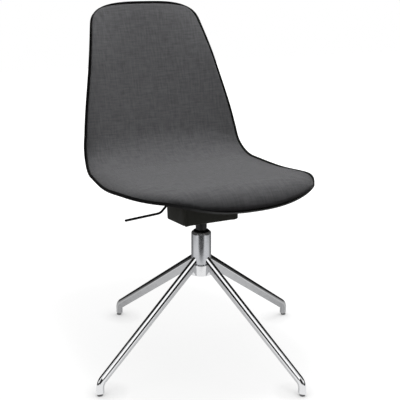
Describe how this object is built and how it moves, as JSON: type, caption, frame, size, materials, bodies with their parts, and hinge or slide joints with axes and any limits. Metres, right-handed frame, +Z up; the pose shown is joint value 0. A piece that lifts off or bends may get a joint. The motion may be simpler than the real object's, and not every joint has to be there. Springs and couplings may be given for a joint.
{
  "type": "conference chair",
  "caption": "Swivel conference chair: padded fabric seat and back in one curved shell, on a height-adjusting gas column with a side lever and a splayed metal leg base on glides.",
  "frame": {"origin": "on the floor, under the middle of the chair's bounding box at rest", "axes": "+Z up, the sitter faces -Y, the sitter's right hand and the height lever are at -X"},
  "size_m": [0.6532, 0.6834, 0.8747],
  "materials": {
    "polished_aluminium": "polished top faces, satin sides",
    "column_chrome": "bright chrome",
    "zinc_steel": "zinc plated",
    "black_steel": "semi-gloss black coating",
    "black_plastic": "fine moulded texture",
    "black_rubber": "matte",
    "insert_brass": "turned",
    "glide_plastic": "matte grey nylon",
    "seat_foam": "cut foam under the cover",
    "grey_fabric": "fine plain weave, dark grey"
  },
  "bodies": {
    "base": {"base_hub": "polished_aluminium", "leg_1": "polished_aluminium", "leg_2": "polished_aluminium", "leg_3": "polished_aluminium", "leg_4": "polished_aluminium", "glide_1": "glide_plastic", "glide_2": "glide_plastic", "glide_3": "glide_plastic", "glide_4": "glide_plastic", "column_tube": "column_chrome", "guide_bush": "black_plastic", "lower_bearing_washer": "zinc_steel", "bearing_ball_cage": "zinc_steel"},
    "rod": {"piston_rod": "zinc_steel", "retaining_clip": "zinc_steel", "upper_bearing_washer": "zinc_steel", "rubber_buffer": "black_rubber", "piston": "polished_aluminium"},
    "seat": {"pressure_tube": "black_steel", "rod_seal": "black_rubber", "valve_body": "zinc_steel", "taper_socket": "zinc_steel", "mechanism_cover": "black_plastic", "seat_plate": "zinc_steel", "front_lever_ear": "zinc_steel", "rear_lever_ear": "zinc_steel", "lever_pin": "zinc_steel", "seat_screw_1": "zinc_steel", "seat_screw_2": "zinc_steel", "seat_screw_3": "zinc_steel", "seat_screw_4": "zinc_steel", "threaded_insert_1": "insert_brass", "threaded_insert_2": "insert_brass", "threaded_insert_3": "insert_brass", "threaded_insert_4": "insert_brass", "seat_shell": "black_plastic", "foam_pad": "seat_foam", "fabric_cover": "grey_fabric"},
    "lever": {"height_lever": "black_steel"},
    "valve": {"valve_pin": "zinc_steel"}
  },
  "joints": [
    {"name": "swivel", "type": "hinge", "parent": "base", "child": "rod", "pos_m": [0, -0.01515, 0.24], "axis": [0, 0, 1], "continuous": true},
    {"name": "height", "type": "slide", "parent": "rod", "child": "seat", "axis": [0, 0, 1], "range_m": [0, 0.055]},
    {"name": "lever_lift", "type": "hinge", "parent": "seat", "child": "lever", "pos_m": [-0.03, -0.01515, 0.4237], "axis": [0, 0.9972, -0.075], "range_deg": [0, 5], "stiffness_Nm_per_rad": 6},
    {"name": "valve_press", "type": "slide", "parent": "seat", "child": "valve", "axis": [0, 0, -1], "range_m": [0, 0.00262]}
  ],
  "couplings": [
    {"joint": "valve_press", "follows": "lever_lift", "m_per_rad": 0.03}
  ]
}
